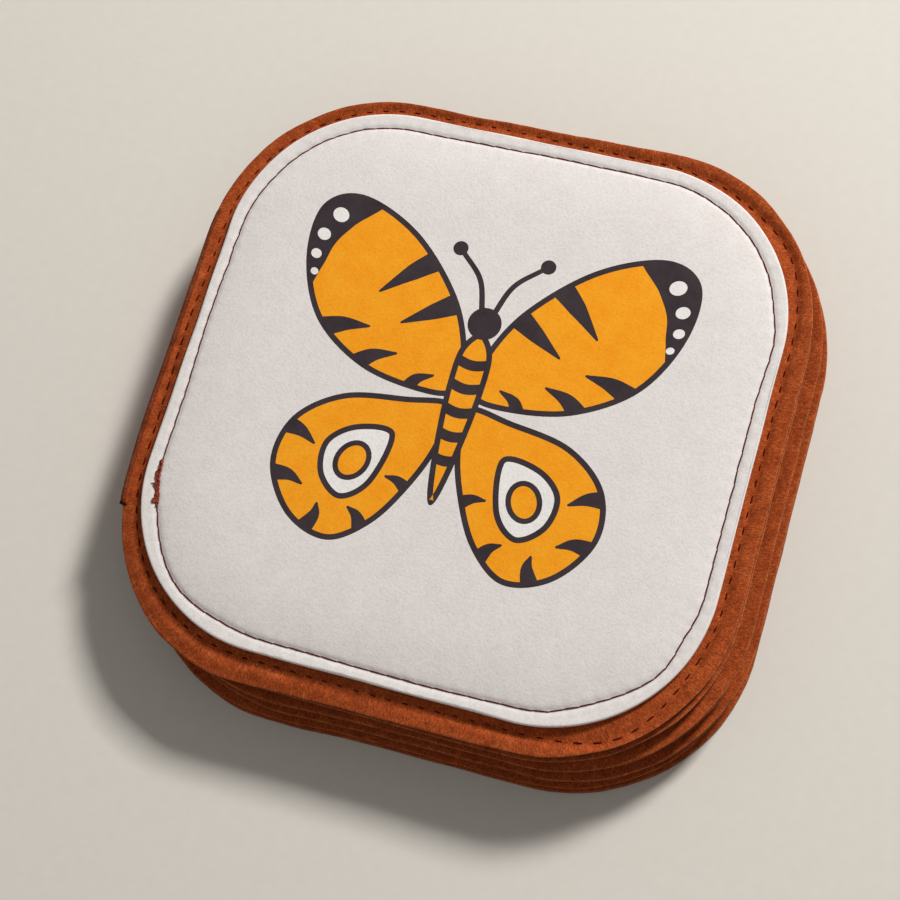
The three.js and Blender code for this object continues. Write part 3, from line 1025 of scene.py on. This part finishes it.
def wing_layers():
    """The wings on the right side. A layer is a colour, a polygon, and the polygon that it is kept inside."""
    fore_points = [(2, 12), (9, 27), (24, 42), (41, 49), (51, 44), (51, 29), (43, 13), (28, 3)]
    fore = curve_through([*fore_points, (11, 0), (2, 2)], True)
    hind_points = [(2, -1), (14, -2), (30, -5), (41, -14), (43, -27), (35, -39), (23, -43), (13, -36)]
    hind = curve_through([*hind_points, (6, -24), (2, -12)], True)
    tip = curve_through([(34, 50), (54, 54), (58, 22), (49, 19), (46, 27), (44.5, 34), (41, 40)], True)
    eye = curve_through([(14, -12), (24, -12), (31, -18), (30, -27), (23, -32), (16, -26)], True)
    layers = []
    for wing in (fore, hind):
        layers.append((CHARCOAL, wing, None))
        layers.append((ORANGE, drawn_in(wing, PRINT_LINE), None))
    layers.append((CHARCOAL, tip, fore))
    for x, y, radius in ((45.4, 42.2, 2.3), (48.2, 36, 1.9), (48.6, 30.3, 1.5), (47.6, 25.4, 1.1)):
        layers.append((BRIGHT, disc(x, y, radius, 0.85 * radius, 0.5), None))
    fore_marks = (
        ([(7, 26), (14, 21.5), (21, 17)], (6.5, 4.2)),
        ([(15, 37), (22, 31), (29, 24)], (6.5, 4.6)),
        ([(43, 10), (36, 13), (29, 14)], (6.5, 4.2)),
        ([(31, 2), (26, 6.5), (20, 8.5)], (6.0, 3.8)),
        ([(15, -1), (13, 3), (9, 5)], (4.5, 3.0)),
    )
    hind_marks = (
        ([(44, -16), (38, -17), (33.5, -19.5)], (5.5, 3.4)),
        ([(45, -30), (38, -29), (33.5, -30.5)], (5.5, 3.4)),
        ([(31, -44), (28, -38), (28, -34.5)], (5.5, 3.2)),
        ([(14, -41), (17, -35.5), (20, -33.5)], (5.5, 3.0)),
        ([(5, -27), (9.5, -24), (13, -23.5)], (4.5, 2.6)),
    )
    for marks, wing in ((fore_marks, fore), (hind_marks, hind)):
        layers += [(CHARCOAL, stroke(points, (*widths, STRIPE_END)), wing) for points, widths in marks]
    layers += [(CHARCOAL, eye, None), (BRIGHT, drawn_in(eye, PRINT_LINE), None)]
    for colour, radius_x, radius_y in ((CHARCOAL, 4.6, 5.6), (ORANGE, 3.2, 4.2)):
        layers.append((colour, disc(22.6, -21.5, radius_x, radius_y, 0.4), None))
    return layers


def moved(layers, move):
    """Layers with their polygons moved."""
    return [(colour, move(shape), None if keep is None else move(keep)) for colour, shape, keep in layers]


def butterfly():
    """A butterfly in thick outline, in millimetres from the panel's middle, as layers in their order."""
    right = wing_layers()
    left = moved(right, lambda shape: shape * (-1, 1))
    feelers = []
    for side in (1, -1):
        bend = [(1.4 * side, 24), (4.5 * side, 33), (11 * side, 39.5)]
        feelers.append((CHARCOAL, stroke(bend, (1.5, 1.4, 1.3)), None))
        feelers.append((CHARCOAL, disc(11.8 * side, 40.2, 2.0), None))
    flank = [(4.2, 14), (4.8, 4), (3.8, -10), (1.8, -24)]
    trunk = curve_through([(0, 19), *flank, (0, -28), *[(-x, y) for x, y in reversed(flank)]], True)
    core = [(CHARCOAL, trunk, None), (ORANGE, drawn_in(trunk, PRINT_LINE), None)]
    core.append((CHARCOAL, disc(0, 21.5, 4.4), None))
    for y in (10.5, 4, -2.5, -9, -15.5):
        core.append((CHARCOAL, stroke([(-6, y + 1), (0, y - 0.6), (6, y + 1)], (2.6, 2.8, 2.6)), trunk))
    return right + left + feelers + core


def inside(polygon, xy):
    """Which points lie inside a polygon."""
    found = np.zeros(len(xy), bool)
    x, y = xy[:, 0], xy[:, 1]
    for (x1, y1), (x2, y2) in zip(polygon, np.roll(polygon, -1, 0)):
        crosses = (y1 > y) != (y2 > y)
        if crosses.any():
            found ^= crosses & (x < (x2 - x1) * (y - y1) / (y2 - y1 + 1e-30) + x1)
    return found


# Front panel


def unevenness(xy):
    """Slow waves of the panel's cloth, of about unit height."""
    x, y = (xy - PANEL.centre).T / (10 * MM)
    waves = ((0.31, 0.17, 0.4, 0.4), (-0.23, 0.39, 2.1, 0.3), (0.52, -0.41, 4.0, 0.2), (0.8, 0.7, 1.2, 0.12))
    return sum(size * np.sin(fx * x + fy * y + phase) for fx, fy, phase, size in waves)


def panel_level(xy):
    """Level of the panel's face: flat rim, dip along the thread with puckers, and crown over the padding."""
    share = PANEL.share_of(xy)
    inset = PANEL.inset_of(xy)
    past_thread = inset - thread_inset(share)
    crown = CROWN_HEIGHT * (1 - (1 - np.clip(past_thread / CROWN_WIDTH, 0, 1)) ** 3)
    dip = THREAD_DIP * bell(past_thread, THREAD_DIP_WIDTH)
    pucker = PUCKER * np.cos(tau * share * PANEL_STITCHES) * bell(past_thread, PUCKER_WIDTH)
    pucker = pucker * smoothstep(inset / PUCKER_WIDTH)
    wave = PANEL_WAVE * unevenness(xy)
    lift = rim_lift(share) * smoothstep(1 - inset / RIM_LIFT_WIDTH)
    return panel_low.z + PANEL_THICKNESS + crown - dip - pucker + wave + lift


def printed_mesh(border):
    """The panel's face: triangles cut along the outlines of the print, and a colour for each."""
    layers = moved(butterfly(), lambda shape: shape * MM + PANEL.centre)
    points, edges = [], []
    for shape in [border] + [shape for _, shape, _ in layers]:
        start = len(points)
        points += [tuple(p) for p in shape]
        edges += [(start + k, start + (k + 1) % len(shape)) for k in range(len(shape))]
    for inset in PANEL_INSETS:
        points += [tuple(p) for p in PANEL.points - PANEL.normals * inset * MM]
    reach = np.arange(-PANEL_HALF, PANEL_HALF, PANEL_GRID)
    grid = np.array([(x + (row % 2) * PANEL_GRID / 2, y) for row, y in enumerate(reach) for x in reach])
    grid = grid + PANEL.centre
    points += [tuple(p) for p in grid[PANEL.inset_of(grid) > GRID_INSET]]
    found = delaunay_2d_cdt([Vector(p) / MM for p in points], edges, [], 0, 1e-4, False)
    xy = np.array([tuple(v) for v in found[0]]) * MM
    first, second, third = (xy[[face[k] for face in found[2]]] for k in range(3))
    ahead, across = second - first, third - first
    turning = ahead[:, 0] * across[:, 1] - ahead[:, 1] * across[:, 0]
    faces = [tuple(face) if turn > 0 else tuple(reversed(face)) for face, turn in zip(found[2], turning)]
    middles = (first + second + third) / 3
    colours = np.full(len(faces), WHITE)
    for colour, shape, keep in layers:
        painted = inside(shape, middles)
        if keep is not None:
            painted &= inside(keep, middles)
        colours[painted] = colour
    # Plain plush on the rim, outside the row of thread, takes the lighter plush: painted light
    on_rim = PANEL.inset_of(middles) < thread_inset(PANEL.share_of(middles))
    colours[(colours == WHITE) & on_rim] = RIM
    return xy, faces, list(colours)


def front_panel():
    """The padded panel: its printed face, rounded cut edge and flat underside."""
    cut = PLUSH_WOBBLE * noise_line(5, *PANEL_WAVES)(PANEL.shares)[:, None] * PANEL.normals
    edge = PANEL.points + cut
    border = edge - PANEL.normals * PANEL_ROUNDING
    xy, faces, colours = printed_mesh(border)
    points = [np.column_stack([xy, panel_level(xy)])]
    level = panel_level(border)
    count = len(border)
    rings = [[int(np.argmin(((xy - target) ** 2).sum(1))) for target in border]]
    for turn in np.radians(PANEL_DEGREES):
        ring_xy = edge - PANEL.normals * PANEL_ROUNDING * (1 - sin(turn))
        points.append(np.column_stack([ring_xy, level - PANEL_ROUNDING * (1 - cos(turn))]))
    points.append(np.column_stack([edge, np.full(count, panel_low.z)]))
    rings += np.arange(len(xy), len(xy) + (len(points) - 1) * count).reshape(-1, count).tolist()
    for upper, lower in zip(rings, rings[1:]):
        faces += [(upper[k], lower[k], lower[(k + 1) % count], upper[(k + 1) % count]) for k in range(count)]
    faces.append(tuple(reversed(rings[-1])))
    # The rounded cut edge and the underside take the lighter plush too: painted light
    colours += [RIM] * (len(faces) - len(colours))
    materials = [PLUSH, ORANGE_PRINT, CHARCOAL_PRINT, BRIGHT_PRINT, PLUSH_RIM_PAINTED_LIGHT]
    obj = add_mesh("front_panel", np.concatenate(points), faces, materials, colours)
    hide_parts("cover_panel", "cover_padding")
    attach(obj, "front_cover")


def tack():
    """Thread sewn back and forth where the panel's row begins and ends, its knot and two loose ends."""
    rng = np.random.default_rng(81)

    def on_panel(run, aside, above):
        """Place at millimetres along the tack, outwards from the row and over the cloth."""
        share = TACK_SHARE + run * MM / PANEL.length
        point, normal = PANEL.at(share)
        xy = point - normal * (thread_inset(share) - aside * MM)
        return (*xy, panel_level(xy[None])[0] + above * MM)

    parts = []
    for strand in range(TACK_STRANDS):
        run = rng.uniform(*TACK_ENDS)
        flip = 1 if strand % 2 else -1
        points = []
        while run < TACK_LENGTH / MM - rng.uniform(*TACK_ENDS):
            spread = 0.42 + 0.4 * sin(pi * run * MM / TACK_LENGTH)
            points.append(on_panel(run, flip * rng.uniform(*TACK_REACH) * spread, rng.uniform(*TACK_LIFTS)))
            run += rng.uniform(*TACK_STEPS)
            flip = -flip
        path = curve_through(points, False, 4)
        parts.append(tube(path, THREAD_RADIUS * rng.uniform(*TACK_SIZES)))
    knot = []
    for turn in np.linspace(0, TACK_KNOT_TURNS * tau, TACK_KNOT_POINTS):
        wide = 0.75 * abs(sin(0.27 * turn + 0.4)) + 0.1
        lifted = 0.3 * abs(sin(0.4 * turn))
        knot.append(on_panel(TACK_KNOT + wide * cos(turn), 0.55 + 0.8 * wide * sin(turn + 0.5), lifted))
    parts.append(tube(knot, 1.1 * THREAD_RADIUS))
    for run, reach, bend in ((8.0, 1.3, 0.2), (8.4, 0.9, 0.5)):
        path = [on_panel(run + bend * t * t, 0.3 + reach * t, 0.3 - 0.2 * t) for t in np.linspace(0, 1, 8)]
        parts.append(tube(path, THREAD_RADIUS * np.linspace(1.1, 0.5, 8)))
    add_thread("thread_tack", "front_cover", parts, RED_THREAD)


# Floor, light and camera


def floor():
    corners = [(x * FLOOR_HALF, y * FLOOR_HALF, 0) for x, y in ((-1, -1), (1, -1), (1, 1), (-1, 1))]
    obj = add_mesh("floor", corners, [(0, 1, 2, 3)], [floor_material("E4DFD6")])


def area_light(name, towards, distance, size, power, colour):
    data = bpy.data.lights.new(name, "AREA")
    data.shape = "SQUARE"
    data.size = size
    data.energy = power
    data.color = colour
    obj = new_object(name, data)
    obj.location = Vector(towards).normalized() * distance
    obj.rotation_mode = "QUATERNION"
    obj.rotation_quaternion = (-obj.location).to_track_quat("-Z", "Y")


def light():
    area_light("key", *KEY_LIGHT)
    area_light("fill", *FILL_LIGHT)
    world = bpy.data.worlds.new("studio")
    world.use_nodes = True
    settle(world.node_tree.nodes["Background"], Color=WORLD_COLOUR, Strength=WORLD_STRENGTH)
    bpy.context.scene.world = world


def camera():
    a, e = CAMERA_AZIMUTH, CAMERA_ELEVATION
    back = Vector((sin(a) * cos(e), -cos(a) * cos(e), sin(e)))
    level = Vector((cos(a), sin(a), 0))
    upright = back.cross(level)
    c, s = cos(CAMERA_ROLL), sin(CAMERA_ROLL)
    right, up = c * level + s * upright, c * upright - s * level
    data = bpy.data.cameras.new("camera")
    data.lens = CAMERA_LENS
    data.sensor_width = CAMERA_SENSOR
    obj = new_object("camera", data)
    turned = Matrix((right, up, back)).transposed().to_4x4()
    rim_middle = Vector((*PANEL.centre, panel_low.z + PANEL_THICKNESS))
    turned.translation = rim_middle + CAMERA_AIM + back * CAMERA_DISTANCE
    obj.matrix_world = turned
    bpy.context.scene.camera = obj


camera()
leaves()
spine()
tongue("first_page_hinge", "leaf_1", "leaf_1_upper_felt")
tongue("second_page_hinge", "leaf_2", "leaf_2_lower_felt")
front_panel()
panel_row = along(PANEL, lambda share: -thread_inset(share))
sewn_row("panel_thread", "front_cover", PANEL_STITCHES, panel_row, panel_level, 1)
cover_row = along(PANEL, outer_row)
sewn_row("cover_seam", "front_cover", PANEL_STITCHES, cover_row, cover_level, 4, 1, SUNK_STITCH, DARK_THREAD)
tack()
floor()
light()
bpy.context.scene.view_settings.view_transform = "Standard"
